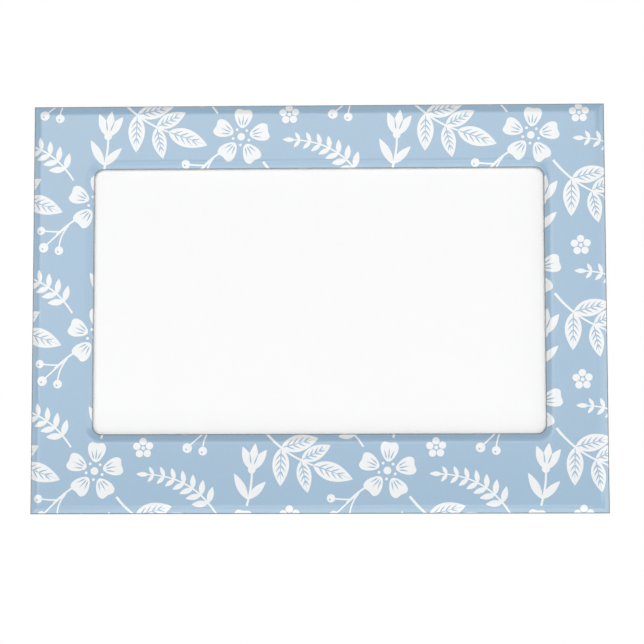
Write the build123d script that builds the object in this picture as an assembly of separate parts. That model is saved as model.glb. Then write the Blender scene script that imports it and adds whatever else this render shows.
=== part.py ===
from build123d import *
import os

# A magnetic photo frame: a bevelled white face with a printed film, a clear
# window, a pocket for a 6 x 4 inch print that opens at the top edge, a back
# panel and a flexible magnet sheet. All sizes are in millimetres.
# The frame stands upright and faces -Y. The origin is the middle of the
# magnet's back face, which is the side that meets the steel.

# Photograph that the frame holds
PHOTO_W = 152.4
PHOTO_H = 101.6
PHOTO_T = 0.3

# Room round the photograph in its pocket
PHOTO_SIDE_PLAY = 0.8
PHOTO_SEAT_GAP = 0.1
PHOTO_FRONT_GAP = 0.1
PHOTO_BACK_GAP = 0.35

# How far the face laps over the photograph's edges
LAP_SIDE = 6.35
LAP_TOP = 9.55
LAP_BOTTOM = 9.55

# Face borders, from the window's edge to the outer edge
BORDER_SIDE = 19.05
BORDER_TOP = 20.0
BORDER_BOTTOM = 24.5

# Face: bevels along the outer edge and the window, and the crease above them
WINDOW_R = 2.8
BEVEL_W = 2.1
BEVEL_D = 1.4
CREASE_R = 2.2
LIP_T = 2.05
FILM_T = 0.12

# Clear pane, taped into a rebate behind the lip
PANE_T = 0.5
PANE_INSET = 1.0
PANE_R = 1.5
PANE_PLAY = 0.2
PANE_TAPE_T = 0.15
PANE_TAPE_MARGIN = 0.8

# Mouth of the photograph's pocket
LEAD_IN = 0.8

# Back panel, taped to the back of the face
PANEL_T = 1.6
PANEL_INSET = 0.4
PANEL_R = 1.0
PANEL_TAPE_T = 0.15
PANEL_TAPE_MARGIN = 1.5
TAPE_JOINT = 0.5

# Thumb notch in the back, which bares the top of the photograph
NOTCH_W = 22.0
NOTCH_BITE = 5.5
NOTCH_R = 7.0
NOTCH_MOUTH_R = 2.0

# Flexible magnet sheet and its adhesive layer
MAGNET_T = 0.85
MAGNET_INSET = 2.0
MAGNET_R = 3.0
MAGNET_NOTCH_EASE = 1.5
GLUE_T = 0.1
GLUE_INSET = 0.5

# Length by which a cutting shape runs past the face that it opens
CUT_PAST = 1.0

# Outlines worked out from the photograph, its laps and the borders
window_w = PHOTO_W - 2 * LAP_SIDE
window_h = PHOTO_H - LAP_TOP - LAP_BOTTOM
frame_w = window_w + 2 * BORDER_SIDE
frame_h = window_h + BORDER_TOP + BORDER_BOTTOM
frame_top = frame_h / 2
window_top = frame_top - BORDER_TOP
window_z = window_top - window_h / 2
photo_top = window_top + LAP_TOP
photo_z = photo_top - PHOTO_H / 2
pane_w = PHOTO_W - 2 * PANE_INSET
pane_h = PHOTO_H - 2 * PANE_INSET
pocket_w = PHOTO_W + 2 * PHOTO_SIDE_PLAY
pocket_bottom = photo_top - PHOTO_H - PHOTO_SEAT_GAP
panel_w = frame_w - 2 * PANEL_INSET
panel_h = frame_h - 2 * PANEL_INSET
magnet_w = panel_w - 2 * MAGNET_INSET
magnet_h = panel_h - 2 * MAGNET_INSET
notch_bottom = photo_top - NOTCH_BITE

# Depths of the layers, from the steel at y = 0 out to the front of the face
magnet_front = -MAGNET_T
glue_front = magnet_front - GLUE_T
panel_front = glue_front - PANEL_T
face_back = panel_front - PANEL_TAPE_T
photo_back = panel_front - PHOTO_BACK_GAP
photo_front = photo_back - PHOTO_T
pocket_front = photo_front - PHOTO_FRONT_GAP
pane_front = pocket_front - PANE_T
lip_back = pane_front - PANE_TAPE_T
film_front = lip_back - LIP_T
core_front = film_front + FILM_T


def facing(depth, height=0.0):
    """Plane that looks out of the front of the frame at a given depth."""
    return Plane(origin=(0, depth, height), x_dir=(1, 0, 0), z_dir=(0, -1, 0))


def sheet(width, height, z_mid, back, front, corner_r=0.0):
    """Flat sheet between two depths, with square or rounded corners."""
    outline = RectangleRounded(width, height, corner_r) if corner_r else Rectangle(width, height)
    return extrude(facing(back, z_mid) * outline, back - front)


def strip(left, right, bottom, top, back, front):
    """Strip of tape between two depths, given by its four edges."""
    outline = Pos((left + right) / 2, (bottom + top) / 2) * Rectangle(right - left, top - bottom)
    return extrude(facing(back) * outline, back - front)


def bevelled_ring(back, front):
    """Face ring whose two front rims fall away in bevels under a soft crease."""
    outline = Rectangle(frame_w, frame_h)
    outline -= Pos(0, window_z) * RectangleRounded(window_w, window_h, WINDOW_R)
    ring = extrude(facing(back) * outline, back - front)
    face = ring.faces().sort_by(Axis.Y)[0]
    ring = chamfer(face.edges(), BEVEL_W, BEVEL_D, reference=face)
    crease = ring.faces().sort_by(Axis.Y)[0].edges()
    return fillet(crease, CREASE_R)


def print_film():
    """Printed film: the face ring less the same ring one film deeper."""
    return bevelled_ring(lip_back, film_front) - bevelled_ring(lip_back, core_front)


def face_frame():
    """White core under the film, with the pane's rebate and the pocket cut from behind."""
    core = bevelled_ring(face_back, core_front)
    rebate = sheet(
        pane_w + 2 * PANE_PLAY,
        pane_h + 2 * PANE_PLAY,
        photo_z,
        face_back,
        lip_back,
        PANE_R + PANE_PLAY,
    )
    return core - rebate - photo_pocket()


def photo_pocket():
    """Flat pocket open at the back and at the top, where its mouth flares."""
    open_back = face_back + CUT_PAST
    open_top = frame_top + CUT_PAST
    profile = Polyline(
        (open_back, pocket_bottom),
        (pocket_front, pocket_bottom),
        (pocket_front, frame_top - LEAD_IN),
        (pocket_front - LEAD_IN, frame_top),
        (pocket_front - LEAD_IN, open_top),
        (open_back, open_top),
        close=True,
    )
    return extrude(Plane.YZ * make_face(profile), pocket_w / 2, both=True)


def notched_sheet(width, height, corner_r, notch_ease, back, front):
    """Sheet with a round-cornered thumb notch in the middle of its top edge, eased all round."""
    outline = RectangleRounded(width, height, corner_r)
    notch = RectangleRounded(
        NOTCH_W + 2 * notch_ease,
        frame_h,
        NOTCH_R + notch_ease,
        align=(Align.CENTER, Align.MIN),
    )
    outline -= Pos(0, notch_bottom - notch_ease) * notch
    rim = outline.vertices().group_by(Axis.Y)[-1]
    mouth = rim.sort_by(Axis.X)[1:-1]
    outline = fillet(mouth, NOTCH_MOUTH_R)
    return extrude(facing(back) * outline, back - front)


def back_panel():
    """Flat board that closes the back of the pocket."""
    return notched_sheet(panel_w, panel_h, PANEL_R, 0.0, glue_front, panel_front)


def magnet_layer(inset, back, front):
    """Layer on the back panel that follows the magnet's outline, set in from it."""
    return notched_sheet(
        magnet_w - 2 * inset,
        magnet_h - 2 * inset,
        MAGNET_R,
        MAGNET_NOTCH_EASE + inset,
        back,
        front,
    )


def pane_tapes():
    """Four strips that bond the pane to the back of the lip, butted at the corners."""
    outer_x = pane_w / 2 - PANE_TAPE_MARGIN
    inner_x = window_w / 2 + PANE_TAPE_MARGIN
    top = photo_top - PANE_INSET - PANE_TAPE_MARGIN
    bottom = photo_top - PHOTO_H + PANE_INSET + PANE_TAPE_MARGIN
    window_over = window_top + PANE_TAPE_MARGIN
    window_under = window_top - window_h - PANE_TAPE_MARGIN
    side_top = window_over - TAPE_JOINT
    side_bottom = window_under + TAPE_JOINT
    return {
        "pane_tape_left": strip(-outer_x, -inner_x, side_bottom, side_top, pane_front, lip_back),
        "pane_tape_right": strip(inner_x, outer_x, side_bottom, side_top, pane_front, lip_back),
        "pane_tape_top": strip(-outer_x, outer_x, window_over, top, pane_front, lip_back),
        "pane_tape_bottom": strip(-outer_x, outer_x, bottom, window_under, pane_front, lip_back),
    }


def panel_tapes():
    """Three strips that bond the back panel round the pocket and leave its top open."""
    outer_x = frame_w / 2 - PANEL_TAPE_MARGIN
    inner_x = pocket_w / 2 + PANEL_TAPE_MARGIN
    bottom = -frame_top + PANEL_TAPE_MARGIN
    bottom_top = pocket_bottom - PANEL_TAPE_MARGIN
    side_bottom = bottom_top + TAPE_JOINT
    side_top = frame_top - PANEL_TAPE_MARGIN
    return {
        "panel_tape_left": strip(-outer_x, -inner_x, side_bottom, side_top, panel_front, face_back),
        "panel_tape_right": strip(inner_x, outer_x, side_bottom, side_top, panel_front, face_back),
        "panel_tape_bottom": strip(-outer_x, outer_x, bottom, bottom_top, panel_front, face_back),
    }


pieces = {
    "face_frame": face_frame(),
    "print_film": print_film(),
    "window_pane": sheet(pane_w, pane_h, photo_z, pocket_front, pane_front, PANE_R),
    "photo_insert": sheet(PHOTO_W, PHOTO_H, photo_z, photo_back, photo_front),
    "back_panel": back_panel(),
    "magnet_adhesive": magnet_layer(GLUE_INSET, magnet_front, glue_front),
    "magnet_sheet": magnet_layer(0.0, 0.0, magnet_front),
}
pieces.update(pane_tapes())
pieces.update(panel_tapes())

os.makedirs("parts", exist_ok=True)
for name, piece in pieces.items():
    export_step(piece, f"parts/{name}.step")
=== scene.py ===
import bpy
import numpy as np
from mathutils import Euler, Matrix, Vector
from mathutils.geometry import delaunay_2d_cdt


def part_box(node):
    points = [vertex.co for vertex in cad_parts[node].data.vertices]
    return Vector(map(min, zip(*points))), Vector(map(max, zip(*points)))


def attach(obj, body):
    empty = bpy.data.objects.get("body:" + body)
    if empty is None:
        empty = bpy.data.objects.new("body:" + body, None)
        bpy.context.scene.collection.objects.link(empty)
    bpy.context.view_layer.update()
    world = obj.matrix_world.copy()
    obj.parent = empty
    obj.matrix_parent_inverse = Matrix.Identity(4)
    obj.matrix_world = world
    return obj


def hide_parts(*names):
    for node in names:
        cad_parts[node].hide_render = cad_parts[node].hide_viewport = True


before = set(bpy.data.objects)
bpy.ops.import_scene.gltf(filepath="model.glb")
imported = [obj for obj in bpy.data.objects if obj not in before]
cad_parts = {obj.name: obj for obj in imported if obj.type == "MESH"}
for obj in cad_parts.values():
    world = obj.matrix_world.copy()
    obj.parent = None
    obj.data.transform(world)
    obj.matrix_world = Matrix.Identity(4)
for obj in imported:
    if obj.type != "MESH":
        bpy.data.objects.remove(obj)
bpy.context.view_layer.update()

MM = 0.001

# The printed face, in millimetres: its outline from the frame, the rest with the part's own values
film_low, film_high = np.round(np.array(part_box("print_film")) / MM, 3)
FACE_W, _, FACE_H = film_high - film_low
FACE_Y = film_low[1]
WINDOW_HALF = (69.85, 41.25)
WINDOW_MID = (0.0, 2.25)
WINDOW_R = 2.8
BEVEL_W = 2.1
BEVEL_D = 1.4
CREASE_R = 2.2
FILM_T = 0.12

# The film's front is drawn thinner over the crease, in a wider arc than the core's
SOFT_CREASE_R = 3.2

# How the film rolls over at its cut edges
ROLL_W = 0.34
ROLL_D = 0.10

# Painted shade along the film's cut edge: the share of the roll it fades over, and its strength outside and
# at the window
RIM_FADE = 0.4
RIM_SHADE_SHARE = (1.0, 0.75)

# How finely the film's bends are cut, the step past a bend, and how close two points count as one
ROLL_STEPS = 6
CREASE_STEPS = 8
CORNER_STEPS = 12
GUARD = 0.05
WELD = 1e-5

# The triangulation's setting that fills the whole hull of its points
WHOLE_HULL = 0

# The turn in degrees past which an edge is sharp
SHARP_TURN = 34.0

# The film's material slots
GROUND = 0
INK = 1
BARE = 2

# The directions of four corners, anticlockwise from the top right
CORNERS = np.array([[1, 1], [-1, 1], [-1, -1], [1, -1]])

# The floral repeat: a half-drop, in millimetres, so many columns and rows each way
REPEAT_W = 45.0
REPEAT_H = 41.5
REPEAT_SHIFT = (21.0, -8.8)
REPEATS = 4

# Points of an outline, and of a fine line with its width
POINTS = 24
STROKE_POINTS = 8
STROKE_W = 0.45
NO_LINES = np.empty((0, STROKE_POINTS, 2))


# The face


def rim_distances(p):
    """How far points lie in from the face's outer edge, and out from the window's rounded edge."""
    from_edge = np.min([FACE_W / 2, FACE_H / 2] - np.abs(p), -1)
    past = np.abs(p - WINDOW_MID) - WINDOW_HALF + WINDOW_R
    corner = np.linalg.norm(np.maximum(past, 0), axis=-1)
    from_window = corner + np.minimum(past.max(-1), 0) - WINDOW_R
    return from_edge, from_window


# Outlines of the print


def turned(outlines, angle):
    """Outlines turned about the origin, each by its own angle."""
    angle = np.reshape(angle, (-1,) + (1,) * (outlines.ndim - 2))
    c = np.cos(angle)
    s = np.sin(angle)
    x = outlines[..., 0]
    z = outlines[..., 1]
    return np.stack([c * x - s * z, s * x + c * z], -1)


def there_and_back(far, near):
    """An outline's values along its far side, then back along its near side less the shared ends."""
    return np.concatenate([far, near[..., -2:0:-1]], -1)


def leaves(length, width):
    """Pointed ovals from the origin along x: half a width is a powered sine, fuller near the base."""
    t = np.linspace(0, 1, POINTS // 2 + 1)
    half = np.sin(np.pi * t) ** 0.8 * (1.12 - 0.3 * t)
    x = np.multiply.outer(length, there_and_back(t, t))
    z = np.multiply.outer(width, there_and_back(half, -half)) / 2
    return np.stack([x, z], -1)


def leaf_edge(t):
    """A split leaf's half width along its length, at most one: a powered sine skewed to the base."""
    return np.sin(np.pi * t**0.85) ** 0.85


def split_leaves(length, width, rib=0.5):
    """Leaves in two halves, each from its edge in to a midrib's gap that closes to the tip."""
    t = np.linspace(0, 1, POINTS // 2 + 1)
    gap = rib / 2 * (1 - t) * np.minimum(1, 6 * t)
    far = np.multiply.outer(width, leaf_edge(t)) / 2
    z = there_and_back(far, np.minimum(gap, 0.9 * far))
    x = np.multiply.outer(length, there_and_back(t, t))
    half = np.stack([x, z], -1)
    return np.stack([half, half * [1, -1]], 1)


def strokes(starts, ends):
    """Slim strokes from starts to ends: half a width is a sine, fuller near the start."""
    t = np.linspace(0, 1, STROKE_POINTS // 2 + 1)
    half = STROKE_W / 2 * np.sin(np.pi * t**0.6)
    along = there_and_back(t, t)[:, None]
    aside = there_and_back(half, -half)[:, None]
    way = (ends - starts)[..., None, :]
    left = way[..., ::-1] * [-1, 1] / np.linalg.norm(way, axis=-1, keepdims=True)
    return starts[..., None, :] + along * way + aside * left


def leaf_veins(length, width, count=4, slant=0.2, reach=0.72):
    """Veins of split leaves, on both halves: strokes that slant from the midrib towards the edge."""
    root = np.linspace(0.15, 0.6, count)
    tip = root + slant
    side = np.multiply.outer(width, reach * leaf_edge(tip)) / 2
    starts = np.stack([np.multiply.outer(length, root), 0 * side], -1)
    ends = np.stack([np.multiply.outer(length, tip), side], -1)
    half = strokes(starts, ends)
    return np.concatenate([half, half * [1, -1]], 1)


def set_round(outline, count):
    """An outline, or a group of them, repeated evenly round the origin."""
    turns = np.arange(count) * 2 * np.pi / count
    return turned(np.repeat(outline[None], count, 0), turns)


def petals(count, inner, outer, width, dip, notch=0.42):
    """Egg shapes set round the origin: an ellipse widened outwards, with a rounded dip in its rim."""
    a = np.linspace(-np.pi, np.pi, POINTS, endpoint=False)
    rim = dip * np.exp(-((a / notch) ** 2))
    x = (inner + outer) / 2 + (outer - inner) / 2 * np.cos(a) - rim
    z = width / 2 * np.sin(a) * (0.86 + 0.3 * np.cos(a))
    return set_round(np.stack([x, z], -1), count)


def dots(radius, places, points=POINTS):
    """Circles of the given radii about the given points."""
    a = np.linspace(0, 2 * np.pi, points, endpoint=False)
    circle = np.stack([np.cos(a), np.sin(a)], -1)
    radius = np.broadcast_to(radius, len(places))
    return radius[:, None, None] * circle + np.asarray(places)[:, None]


def round_places(count, radius, start=0.0):
    """Points evenly round a circle."""
    a = start + np.arange(count) * 2 * np.pi / count
    return radius * np.stack([np.cos(a), np.sin(a)], -1)


def bend(start, pull, end, t):
    """A quadratic curve from start to end, drawn towards pull: its points and headings."""
    start, pull, end = np.array([start, pull, end], float)
    t = np.asarray(t, float)[:, None]
    points = (1 - t) ** 2 * start + 2 * t * (1 - t) * pull + t**2 * end
    slope = 2 * (1 - t) * (pull - start) + 2 * t * (end - pull)
    return points, np.arctan2(slope[:, 1], slope[:, 0])


def stem(start, pull, end, wide, narrow):
    """A strip along a bend, whose width runs evenly from wide to narrow."""
    t = np.linspace(0, 1, POINTS // 2)
    points, heading = bend(start, pull, end, t)
    across = np.stack([-np.sin(heading), np.cos(heading)], -1)
    half = across * (wide + (narrow - wide) * t)[:, None] / 2
    return np.concatenate([points + half, (points - half)[::-1]])[None]


# Motifs: each gives its inked outlines, and the fine lines left open within them


def blossom():
    """Five dipped petals with three fine lines each, a dot between each two and a dot in the middle."""
    count = 5
    lobes = petals(count, inner=2.7, outer=9.4, width=6.2, dip=0.9)
    seeds = dots(0.45, round_places(count, 2.6, start=np.pi / count))
    heart = dots(1.2, [[0, 0]])
    starts = np.array([[3.5, -0.55], [3.4, 0.0], [3.5, 0.55]])
    ends = np.array([[6.4, -1.6], [7.0, 0.0], [6.4, 1.6]])
    lines = set_round(strokes(starts, ends), count).reshape(-1, STROKE_POINTS, 2)
    return np.concatenate([lobes, seeds, heart]), lines


def leaf_spray():
    """A bent stem with two pairs of veined leaves and one more at its tip."""
    line = ((0, 0), (9.5, -2.8), (19, 0))
    along = [0.42, 0.42, 0.8, 0.8, 1]
    lean = 0.92 * np.array([1, -1, 1, -1, 0])
    length = np.array([11.8, 11.8, 10.2, 10.2, 13])
    width = 0.44 * length
    points, heading = bend(*line, along)
    base = points[:, None, None]
    halves = turned(split_leaves(length, width), heading + lean) + base
    veins = turned(leaf_veins(length, width), heading + lean) + base
    stalk = stem(*line, wide=0.8, narrow=0.5)
    inked = np.concatenate([halves.reshape(-1, POINTS, 2), stalk])
    return inked, veins.reshape(-1, STROKE_POINTS, 2)


def fern():
    """A bent stem with seven pairs of leaflets that shrink to a last one at its tip."""
    line = ((0, 0), (13.5, -4.4), (24.5, 4.4))
    pairs = 7
    lean = 0.95
    length = np.linspace(5.2, 2.9, pairs)
    leaflets = leaves(length, 0.4 * length)
    points, heading = bend(*line, np.linspace(0.16, 0.92, pairs))
    up = turned(leaflets, heading + lean) + points[:, None]
    down = turned(leaflets, heading - lean) + points[:, None]
    tip, way = bend(*line, [0.98])
    last = turned(leaves([3.8], [1.5]), way) + tip
    stalk = stem(*line, wide=0.6, narrow=0.4)
    return np.concatenate([up, down, last, stalk]), NO_LINES


def bud():
    """Three leaves closed like a cup on a dot, a fine line between each two, and two on the stem."""
    base = np.array([10.0, 0.0])
    lean = 0.5
    cup = turned(leaves([8.3, 7.8, 7.8], [2.9] * 3), [0, lean, -lean]) + base
    knot = dots(1.2, [base + [0.2, 0]])
    low = turned(leaves([9, 7.8], [2.7, 2.5]), [0.62, -0.66]) + [1, 0]
    stalk = stem((-1, 0), (5.6, -0.9), base, wide=0.7, narrow=0.6)
    between = [lean / 2, -lean / 2]
    seam = np.stack([np.cos(between), np.sin(between)], -1)
    lines = strokes(base + 1.8 * seam, base + 5.8 * seam)
    return np.concatenate([cup, knot, low, stalk]), lines


def berries():
    """Three dots, each with an open speck, at the ends of twigs that leave one stem."""
    ends = np.array([[8.2, 4.4], [11.4, 0.7], [8.8, -4.0]])
    fruit = dots([1.35, 1.5, 1.3], ends)
    stalk = stem((-3, 0), (1, -0.5), (6, 0), wide=0.65, narrow=0.5)
    twigs = [
        stem((1 + 1.6 * k, 0), (5.5, 0.2 * end[1]), end, wide=0.5, narrow=0.45)
        for k, end in enumerate(ends)
    ]
    specks = dots(0.3, ends + [0.5, 0.1], STROKE_POINTS)
    return np.concatenate([fruit, stalk, *twigs]), specks


def posy():
    """Five dots round a smaller one."""
    ring = dots(1.15, round_places(5, 2.05))
    heart = dots(0.6, [[0, 0]])
    return np.concatenate([ring, heart]), NO_LINES


# Each motif of one cluster: its outlines, its turn in degrees and its place
CLUSTER = (
    (blossom, 12, (0, 0)),
    (leaf_spray, -36, (6.8, -7.9)),
    (fern, 140, (-7.3, 7.3)),
    (bud, 82, (2, 11)),
    (berries, 218, (-7.9, -6.2)),
    (posy, 20, (15, 7)),
)


def over_face(parts):
    """A cluster's outlines at each place of the repeat, anticlockwise, where they meet the face."""
    cluster = np.concatenate(parts)
    steps = np.arange(-REPEATS, REPEATS + 1)
    column, row = np.meshgrid(steps, steps)
    x = REPEAT_W * column.ravel() + REPEAT_SHIFT[0]
    z = REPEAT_H * (row + column % 2 / 2).ravel() + REPEAT_SHIFT[1]
    places = np.stack([x, z], -1)[:, None, None]
    drawn = (cluster + places).reshape(-1, *cluster.shape[1:])
    from_edge, from_window = rim_distances(drawn)
    on_face = (from_edge > -GUARD) & (from_window > -GUARD)
    drawn = drawn[on_face.any(1)]
    after = np.roll(drawn, -1, 1)
    turn = drawn[..., 0] * after[..., 1] - drawn[..., 1] * after[..., 0]
    clockwise = turn.sum(1) < 0
    drawn[clockwise] = drawn[clockwise, ::-1]
    return drawn


def print_outlines():
    """The print over the whole face: the inked outlines, and the fine lines left open within them."""
    inked = []
    lines = []
    for motif, turn, place in CLUSTER:
        outlines, fine = motif()
        inked.append(turned(outlines, np.radians(turn)) + place)
        lines.append(turned(fine, np.radians(turn)) + place)
    return over_face(inked), over_face(lines)


# The printed film


def bevel_turns(radius):
    """The bevel's tilt, and how far from the rim a crease's arc of this radius meets the flat face."""
    tilt = np.arctan2(BEVEL_D, BEVEL_W)
    return tilt, BEVEL_W + radius * np.tan(tilt / 2)


def bend_lines():
    """Distances from a rim at which the film bends: over its rolled edge and round the crease."""
    tilt, flat = bevel_turns(SOFT_CREASE_R)
    roll = ROLL_W * (1 - np.cos(np.linspace(0, np.pi / 2, ROLL_STEPS + 1)))
    crease = flat - SOFT_CREASE_R * np.sin(np.linspace(tilt, 0, CREASE_STEPS + 1))
    return np.concatenate([roll, [ROLL_W + GUARD], crease, [flat + GUARD]])


def bevel_drop(d, radius):
    """The drop at a distance from a rim: a straight bevel, and an arc that joins it to the flat face."""
    tilt, flat = bevel_turns(radius)
    arc_start = flat - radius * np.sin(tilt)
    inward = np.clip(flat - d, 0, radius * np.sin(tilt))
    arc = radius - np.sqrt(radius**2 - inward**2)
    return arc + np.maximum(arc_start - d, 0) * BEVEL_D / BEVEL_W


def roll_drop(d):
    """The film's further drop at its cut edge, a quarter of an ellipse."""
    part = np.clip(1 - d / ROLL_W, 0, 1)
    return ROLL_D * (1 - np.sqrt(1 - part**2))


def edge_loops(steps):
    """The face's outer rectangle, moved in by each step."""
    half = np.array([FACE_W, FACE_H]) / 2 - steps[:, None]
    return half[:, None] * CORNERS


def window_loops(steps):
    """The window's rounded rectangle, moved out by each step: an arc at each corner in turn."""
    a = np.linspace(0, np.pi / 2, CORNER_STEPS + 1) + np.arange(4)[:, None] * np.pi / 2
    arcs = np.stack([np.cos(a), np.sin(a)], -1)
    middles = WINDOW_MID + CORNERS * (np.array(WINDOW_HALF) - WINDOW_R)
    loops = middles[:, None] + (WINDOW_R + steps)[:, None, None, None] * arcs
    return loops.reshape(len(steps), -1, 2)


def numbered(groups):
    """Running numbers for the points of several groups of loops, as one array for each group."""
    sizes = [loops.shape[0] * loops.shape[1] for loops in groups]
    starts = np.cumsum([0, *sizes])
    return [
        start + np.arange(size).reshape(loops.shape[:2])
        for start, size, loops in zip(starts, sizes, groups)
    ]


def closed_pairs(ids):
    """Pairs of numbers along each closed loop."""
    return np.stack([ids, np.roll(ids, -1, 1)], -1).reshape(-1, 2)


def anticlockwise(flat, triangles):
    """Triangles that run anticlockwise seen from the front, the others turned round."""
    side_a = flat[triangles[:, 1]] - flat[triangles[:, 0]]
    side_b = flat[triangles[:, 2]] - flat[triangles[:, 0]]
    clockwise = side_a[:, 0] * side_b[:, 1] < side_a[:, 1] * side_b[:, 0]
    triangles[clockwise] = triangles[clockwise, ::-1]
    return triangles


def face_sheet():
    """The flat film cut along its bends and the print's outlines: points, triangles, which are inked."""
    steps = bend_lines()
    drawn, lines = print_outlines()
    groups = (edge_loops(steps), window_loops(steps), drawn, lines)
    outer_ids, inner_ids, drawn_ids, line_ids = numbered(groups)
    points = np.concatenate([loops.reshape(-1, 2) for loops in groups])
    mitres = np.stack([outer_ids[:-1], outer_ids[1:]], -1).reshape(-1, 2)
    pairs = np.concatenate([closed_pairs(outer_ids), closed_pairs(inner_ids), mitres])
    outlines = drawn_ids.tolist() + line_ids.tolist()
    flat, _, triangles, _, _, within = delaunay_2d_cdt(
        points.tolist(), pairs.tolist(), outlines, WHOLE_HULL, WELD
    )
    flat = np.array(flat)
    triangles = np.array(triangles)
    topmost = np.array([max(outline, default=-1) for outline in within])
    inked = (topmost >= 0) & (topmost < len(drawn))
    from_edge, from_window = rim_distances(flat[triangles].mean(1))
    kept = (from_edge > 0) & (from_window > 0)
    used, triangles = np.unique(triangles[kept], return_inverse=True)
    flat = flat[used]
    return flat, anticlockwise(flat, triangles.reshape(-1, 3)), inked[kept]


def closed_sheet(front, count):
    """A closed sheet's triangles: the front, a back numbered count later, and walls at lone edges."""
    start = front.ravel()
    end = np.roll(front, -1, 1).ravel()
    lone = ~np.isin(end * count + start, start * count + end)
    start = start[lone]
    end = end[lone]
    near_half = np.stack([end, start, start + count], -1)
    far_half = np.stack([end, start + count, end + count], -1)
    return np.concatenate([front, front[:, ::-1] + count, near_half, far_half])


def mesh_piece(name, points, triangles, slots, materials):
    """A mesh object from arrays in millimetres, smooth but for its sharp turns."""
    mesh = bpy.data.meshes.new(name)
    mesh.vertices.add(len(points))
    mesh.vertices.foreach_set("co", (points * MM).ravel())
    mesh.loops.add(triangles.size)
    mesh.loops.foreach_set("vertex_index", triangles.ravel())
    mesh.polygons.add(len(triangles))
    mesh.polygons.foreach_set("loop_start", np.arange(0, triangles.size, 3))
    for material in materials:
        mesh.materials.append(material)
    mesh.polygons.foreach_set("material_index", slots)
    mesh.polygons.foreach_set("use_smooth", np.ones(len(triangles), bool))
    mesh.update(calc_edges=True)
    mesh.validate()
    mesh.set_sharp_from_angle(angle=np.radians(SHARP_TURN))
    piece = bpy.data.objects.new(name, mesh)
    bpy.context.scene.collection.objects.link(piece)
    return piece


def printed_film(ground, ink, bare):
    """The film as a closed sheet: a front dropped along the rims, a back on the core, and painted shade
    along its cut edge.
    """
    flat, triangles, inked = face_sheet()
    near = np.maximum(rim_distances(flat), 0)
    face = FACE_Y + bevel_drop(near, SOFT_CREASE_R).sum(0) + roll_drop(near).sum(0)
    seat = FACE_Y + bevel_drop(near, CREASE_R).sum(0) + FILM_T
    front = np.stack([flat[:, 0], face, flat[:, 1]], -1)
    back = np.stack([flat[:, 0], seat, flat[:, 1]], -1)
    points = np.concatenate([front, back])
    faces = closed_sheet(triangles, len(flat))
    slots = np.full(len(faces), BARE)
    slots[: len(inked)] = np.where(inked, INK, GROUND)
    film = mesh_piece("printed_film", points, faces, slots, (ground, ink, bare))
    # Painted shade along the cut edges: full by the rim, fading over the roll, weaker at the window
    edge_shade = np.clip((1 - near.T / ROLL_W) / RIM_FADE, 0, 1) * RIM_SHADE_SHARE
    rim = np.tile(edge_shade.max(1), 2)
    film.data.attributes.new("rim", "FLOAT", "POINT").data.foreach_set("value", rim)
    return film


# Materials, with sizes in millimetres and colours in linear light

PALE_BLUE = (0.350, 0.514, 0.671)
PRINT_WHITE = (0.915, 0.930, 0.935)
# Painted shade for the film's cut edge: a dark grey put where the rolled edge turns away from the light
RIM_SHADE_GREY = (0.100, 0.115, 0.130)
CORE_WHITE = (0.880, 0.885, 0.885)
BOARD_WHITE = (0.760, 0.760, 0.750)
CARD_FIBRE = (0.902, 0.902, 0.902)
CARD_WHITE = (0.917, 0.917, 0.917)
PANE_TINT = (0.96, 0.96, 0.96)
TAPE_WHITE = (0.720, 0.720, 0.690)
MAGNET_DARK = (0.012, 0.011, 0.010)
MAGNET_LIGHT = (0.050, 0.046, 0.043)
MAGNET_SCUFF = (0.110, 0.106, 0.100)
FLOOR_GREY = (0.8, 0.8, 0.8)
WHITE = (1, 1, 1)

# The range that most of a noise's values lie in
NOISE_RANGE = (0.3, 0.7)


def new_finish(name):
    """A node material and its Principled shader."""
    material = bpy.data.materials.new(name)
    material.use_nodes = True
    return material, material.node_tree, material.node_tree.nodes["Principled BSDF"]


def feed(tree, node, values):
    """Values or links on a node's inputs."""
    for key, value in values.items():
        if isinstance(value, bpy.types.NodeSocket):
            tree.links.new(value, node.inputs[key])
        else:
            node.inputs[key].default_value = value


def put(tree, kind, values=None, **settings):
    """A node with its settings, and with values or links on its inputs."""
    node = tree.nodes.new(kind)
    for key, value in settings.items():
        setattr(node, key, value)
    feed(tree, node, values or {})
    return node


def opaque(colour):
    """A colour with its alpha."""
    return (*colour, 1)


def shade(colour, share):
    """A colour with each channel taken by a share."""
    return tuple(channel * share for channel in colour)


def place_on(tree, scale):
    """Object coordinates in millimetres, stretched by scale."""
    where = put(tree, "ShaderNodeTexCoord").outputs["Object"]
    stretch = [factor / MM for factor in scale]
    return put(tree, "ShaderNodeMapping", {"Vector": where, "Scale": stretch}).outputs["Vector"]


def grain(tree, size, detail=2.0, rough=0.5, scale=(1, 1, 1)):
    """Noise with features about size millimetres across."""
    values = {
        "Vector": place_on(tree, scale),
        "Scale": 1 / size,
        "Detail": detail,
        "Roughness": rough,
    }
    return put(tree, "ShaderNodeTexNoise", values).outputs["Fac"]


def worked_out(tree, operation, *values):
    """A value worked out from two or three others."""
    return put(tree, "ShaderNodeMath", dict(enumerate(values)), operation=operation).outputs[0]


def carried(tree, value, source, target, **settings):
    """A value carried from the source's range to the target's."""
    values = {
        "Value": value,
        "From Min": source[0],
        "From Max": source[1],
        "To Min": target[0],
        "To Max": target[1],
    }
    return put(tree, "ShaderNodeMapRange", values, **settings).outputs["Result"]


def spread_over(tree, noise, low, high):
    """A noise drawn out from low to high."""
    return carried(tree, noise, NOISE_RANGE, (low, high))


def two_tone(tree, noise, dark, light):
    """A colour between dark and light by a noise."""
    ramp = put(tree, "ShaderNodeValToRGB", {"Fac": noise})
    for stop, place, colour in zip(ramp.color_ramp.elements, NOISE_RANGE, (dark, light)):
        stop.position = place
        stop.color = opaque(colour)
    return ramp.outputs["Color"]


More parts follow.
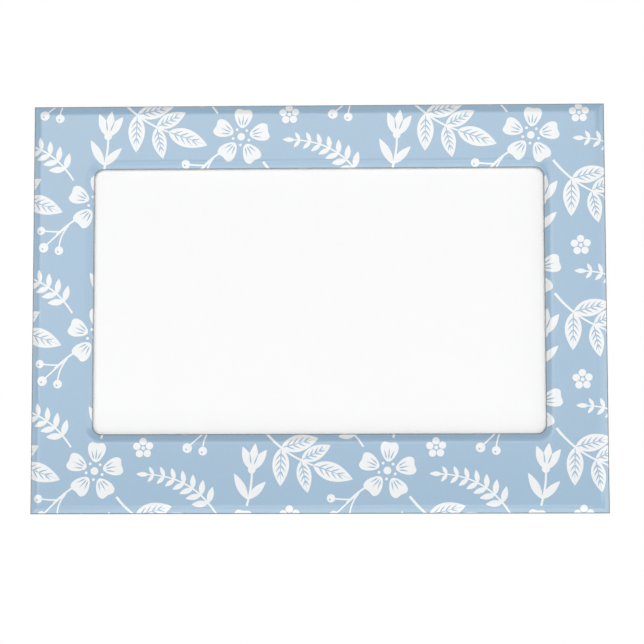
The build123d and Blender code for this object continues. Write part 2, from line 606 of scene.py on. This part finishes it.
def worn_and_shaded_to(tree, tone, under, share):
    """A tone that gives way to the colour under it by a share."""
    values = {"Factor": share, "A": tone, "B": opaque(under)}
    return put(tree, "ShaderNodeMix", values, data_type="RGBA").outputs["Result"]


def raised(tree, height, depth, over=None):
    """A bump of the given depth in millimetres, over another bump where one is given."""
    values = {"Height": height, "Distance": depth * MM}
    if over is not None:
        values["Normal"] = over
    return put(tree, "ShaderNodeBump", values).outputs["Normal"]


def glossy_print(name, colour):
    """Ink under a gloss laminate: a faint mottle, a slight orange peel, and painted shade along the cut
    edge.
    """
    material, tree, skin = new_finish(name)
    mottle = grain(tree, 0.55, detail=4, rough=0.6)
    faint = 0.015
    tone = two_tone(tree, mottle, shade(colour, 1 - faint), shade(colour, 1 + faint))
    # The rim attribute marks where painted shade darkens the cut edge
    rim = put(tree, "ShaderNodeAttribute", attribute_name="rim").outputs["Fac"]
    peel = raised(tree, grain(tree, 2.2, detail=1), depth=0.002)
    finish = {
        "Base Color": worn_and_shaded_to(tree, tone, RIM_SHADE_GREY, rim),
        "Roughness": spread_over(tree, mottle, 0.22, 0.28),
        "Normal": peel,
        "Coat Normal": peel,
        "Coat Weight": 0.35,
        "Coat Roughness": 0.12,
    }
    feed(tree, skin, finish)
    return material


def white_plastic(name, colour, streak, rough):
    """Cut white plastic sheet: fine saw streaks round its edges, with a satin gloss that varies."""
    material, tree, skin = new_finish(name)
    lines = grain(tree, 0.6, detail=3, rough=0.6, scale=(0.05, 1.6, 0.05))
    speck = grain(tree, 0.35)
    sawn = raised(tree, lines, depth=0.006)
    finish = {
        "Base Color": two_tone(tree, lines, shade(colour, 1 - streak), colour),
        "Roughness": spread_over(tree, speck, rough - 0.05, rough + 0.07),
        "Normal": raised(tree, speck, depth=0.003, over=sawn),
    }
    feed(tree, skin, finish)
    return material


def photo_card(name):
    """Heavy white photo paper: a soft fibre cloud under a pearl coat with a fine tooth."""
    material, tree, skin = new_finish(name)
    fibre = grain(tree, 0.4, detail=4, rough=0.6)
    finish = {
        "Base Color": two_tone(tree, fibre, CARD_FIBRE, CARD_WHITE),
        "Roughness": spread_over(tree, fibre, 0.42, 0.52),
        "Normal": raised(tree, grain(tree, 0.18), depth=0.006),
    }
    feed(tree, skin, finish)
    return material


def clear_sheet(name):
    """Clear acrylic, faintly wavy: smooth glass to the eye, and open to shadow and diffuse rays."""
    material, tree, skin = new_finish(name)
    finish = {
        "Base Color": opaque(WHITE),
        "Roughness": 0.03,
        "IOR": 1.49,
        "Transmission Weight": 1.0,
        "Normal": raised(tree, grain(tree, 18, detail=1), depth=0.01),
    }
    feed(tree, skin, finish)
    rays = put(tree, "ShaderNodeLightPath").outputs
    through = worked_out(tree, "MAXIMUM", rays["Is Shadow Ray"], rays["Is Diffuse Ray"])
    gap = put(tree, "ShaderNodeBsdfTransparent", {"Color": opaque(PANE_TINT)}).outputs[0]
    mix = put(tree, "ShaderNodeMixShader", {0: through, 1: skin.outputs[0], 2: gap}).outputs[0]
    feed(tree, tree.nodes["Material Output"], {"Surface": mix})
    return material


def rubber_magnet(name):
    """Flexible magnet sheet: dark filled rubber with rolling streaks, a mottle and a few pale scuffs."""
    material, tree, skin = new_finish(name)
    streak = grain(tree, 0.7, detail=4, rough=0.65, scale=(0.03, 1, 1))
    mottle = grain(tree, 4.0, detail=4, rough=0.6)
    rubbed = grain(tree, 1.6, detail=5, rough=0.7, scale=(0.12, 1, 0.7))
    middle = worked_out(tree, "MULTIPLY", worked_out(tree, "ADD", streak, mottle), 0.5)
    tone = two_tone(tree, middle, MAGNET_DARK, MAGNET_LIGHT)
    scuff = carried(tree, rubbed, (0.62, 0.78), (0.0, 0.5))
    rolled = raised(tree, streak, depth=0.03)
    finish = {
        "Base Color": worn_and_shaded_to(tree, tone, MAGNET_SCUFF, scuff),
        "Roughness": spread_over(tree, streak, 0.46, 0.66),
        "Specular IOR Level": 0.28,
        "Normal": raised(tree, grain(tree, 0.3), depth=0.015, over=rolled),
    }
    feed(tree, skin, finish)
    return material


def milky_tape(name, colour, rough):
    """A thin tape of clear glue that dries milky: fine bubbles in its colour and its surface."""
    material, tree, skin = new_finish(name)
    bubbles = grain(tree, 0.5, detail=3, rough=0.6)
    finish = {
        "Base Color": two_tone(tree, bubbles, shade(colour, 0.93), colour),
        "Roughness": spread_over(tree, bubbles, rough, rough + 0.12),
        "Normal": raised(tree, bubbles, depth=0.02),
    }
    feed(tree, skin, finish)
    return material


# The object: its nodes in their finishes, and the film in its print

core = white_plastic("white_core", CORE_WHITE, streak=0.05, rough=0.30)
board = white_plastic("white_board", BOARD_WHITE, streak=0.03, rough=0.48)
card = photo_card("photo_card")
pane = clear_sheet("clear_pane")
magnet = rubber_magnet("rubber_magnet")
tape = milky_tape("bonding_tape", TAPE_WHITE, rough=0.40)
glue = milky_tape("magnet_glue", TAPE_WHITE, rough=0.30)
blue_ground = glossy_print("pale_blue_print", PALE_BLUE)
white_ink = glossy_print("white_print", PRINT_WHITE)
bare_film = glossy_print("bare_film", CORE_WHITE)

NODE_FINISH = {
    "face_frame": core,
    "window_pane": pane,
    "photo_insert": card,
    "back_panel": board,
    "magnet_sheet": magnet,
    "magnet_adhesive": glue,
}


def dress_nodes():
    """Every CAD node takes its own finish, or else the tape's."""
    for name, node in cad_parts.items():
        node.data.materials.clear()
        node.data.materials.append(NODE_FINISH.get(name, tape))


dress_nodes()
film = printed_film(blue_ground, white_ink, bare_film)
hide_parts("print_film")
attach(film, "frame")

# Camera, as the photograph was taken: lengths in millimetres, turns in degrees
CAMERA_PLACE = (15.2, -584.5, -54.6)
CAMERA_PITCH = 4.94
CAMERA_YAW = -1.40
CAMERA_ROLL = -0.107
LENS = 105.23
SENSOR_W = 36.0
NEAR_CLIP = 10.0


def point_camera():
    """The camera at its place, level but for pitch, yaw and roll."""
    data = bpy.data.cameras.new("camera")
    data.lens = LENS
    data.sensor_width = SENSOR_W
    data.clip_start = NEAR_CLIP * MM
    camera = bpy.data.objects.new("camera", data)
    camera.location = [MM * v for v in CAMERA_PLACE]
    pitch, yaw, roll = np.radians([CAMERA_PITCH, CAMERA_YAW, CAMERA_ROLL])
    level = np.cos(pitch)
    ahead = Vector((np.sin(yaw) * level, np.cos(yaw) * level, np.sin(pitch)))
    turn = ahead.to_track_quat("-Z", "Y") @ Euler((0, 0, roll)).to_quaternion()
    camera.rotation_euler = turn.to_euler()
    bpy.context.scene.collection.objects.link(camera)
    bpy.context.scene.camera = camera


point_camera()

# Light, in metres and watts: the even light's strength
AMBIENT = 0.20

# The floor: its height and half its side, and the lift it shows to the eye over a fade from its middle
FLOOR_Z = -1.1
FLOOR_HALF = 3.0
FLOOR_LIFT = (0.6, 1.1)
FLOOR_FADE = (1.2, 2.9)

# Each soft lamp: its name, place, aim, width, height and power
LAMPS = (
    ("front_box", (-0.24, -2.0, 0.315), (0, 0, 0.03), 1.3, 0.62, 5.36),
    ("high_box", (-0.24, -2.0, 0.64), (0, 0, 0.05), 1.3, 0.4, 2.00),
    ("low_box", (0.0, -1.55, -0.9), (0, 0, 0), 0.8, 0.8, 4.58),
    ("low_bar", (0.0, -0.62, -0.97), (0, 0, 0.04), 0.6, 0.15, 0.78),
    ("low_strip", (0.0, -0.42, -1.05), (0, 0, -0.05), 0.6, 0.2, 0.99),
    ("right_box", (0.9, -1.55, 0.0), (0, 0, 0), 0.8, 0.8, 4.18),
    ("right_fill", (1.3, -0.75, 0.0), (0, 0, 0), 0.7, 0.7, 2.92),
    ("right_strip", (1.15, -0.31, 0.0), (0.08, 0, 0), 0.2, 0.5, 0.78),
    ("left_box", (-1.0, -1.6, 0.0), (0, 0, 0), 0.9, 0.9, 5.74),
    ("left_strip", (-1.15, -0.31, 0.0), (-0.08, 0, 0), 0.2, 0.5, 0.41),
    ("crown_box", (0.0, 0.15, 0.5), (0, 0, 0.05), 0.6, 0.15, 0.9),
    ("back_right", (0.6, 0.8, 0.15), (0, 0, 0), 0.5, 0.5, 3.6),
    ("back_left", (-0.7, 0.45, -0.05), (0, 0, 0), 0.5, 0.5, 2.8),
)


def soft_lamp(name, place, aim, width, height, power):
    """An oblong area lamp at a place, turned to its aim."""
    data = bpy.data.lights.new(name, "AREA")
    data.shape = "RECTANGLE"
    data.size = width
    data.size_y = height
    data.energy = power
    lamp = bpy.data.objects.new(name, data)
    lamp.location = place
    lamp.visible_camera = False
    way = Vector(aim) - Vector(place)
    lamp.rotation_euler = way.to_track_quat("-Z", "Y").to_euler()
    bpy.context.scene.collection.objects.link(lamp)


def seen_directly(tree):
    """One where a ray comes from the camera, a mirror or clear glass, and otherwise nought."""
    rays = put(tree, "ShaderNodeLightPath").outputs
    first = worked_out(tree, "MAXIMUM", rays["Is Camera Ray"], rays["Is Glossy Ray"])
    return worked_out(tree, "MAXIMUM", first, rays["Is Transmission Ray"])


def pale_floor():
    """A wide plain floor that keeps shadows: pale to the lamps, lifted for the eye, white by its edges."""
    square = np.array([[-1, -1, 0], [1, -1, 0], [1, 1, 0], [-1, 1, 0]])
    corners = FLOOR_HALF * square + [0, 0, FLOOR_Z]
    mesh = bpy.data.meshes.new("floor")
    mesh.from_pydata(corners.tolist(), [], [(0, 1, 2, 3)])
    material, tree, skin = new_finish("floor")
    where = put(tree, "ShaderNodeTexCoord").outputs["Object"]
    away = put(tree, "ShaderNodeVectorMath", {0: where}, operation="LENGTH").outputs["Value"]
    fade = carried(tree, away, FLOOR_FADE, FLOOR_LIFT, interpolation_type="SMOOTHSTEP")
    finish = {
        "Base Color": opaque(FLOOR_GREY),
        "Roughness": 0.9,
        "Specular IOR Level": 0.0,
        "Emission Color": opaque(WHITE),
        "Emission Strength": worked_out(tree, "MULTIPLY", seen_directly(tree), fade),
    }
    feed(tree, skin, finish)
    mesh.materials.append(material)
    floor = bpy.data.objects.new("floor", mesh)
    bpy.context.scene.collection.objects.link(floor)


def white_surround():
    """A white world to the eye, and a dim even light to the object."""
    world = bpy.data.worlds.new("surround")
    world.use_nodes = True
    tree = world.node_tree
    level = worked_out(tree, "MULTIPLY_ADD", seen_directly(tree), 1 - AMBIENT, AMBIENT)
    feed(tree, tree.nodes["Background"], {"Color": opaque(WHITE), "Strength": level})
    bpy.context.scene.world = world


pale_floor()
white_surround()
for lamp in LAMPS:
    soft_lamp(*lamp)

bpy.context.scene.view_settings.view_transform = "Standard"
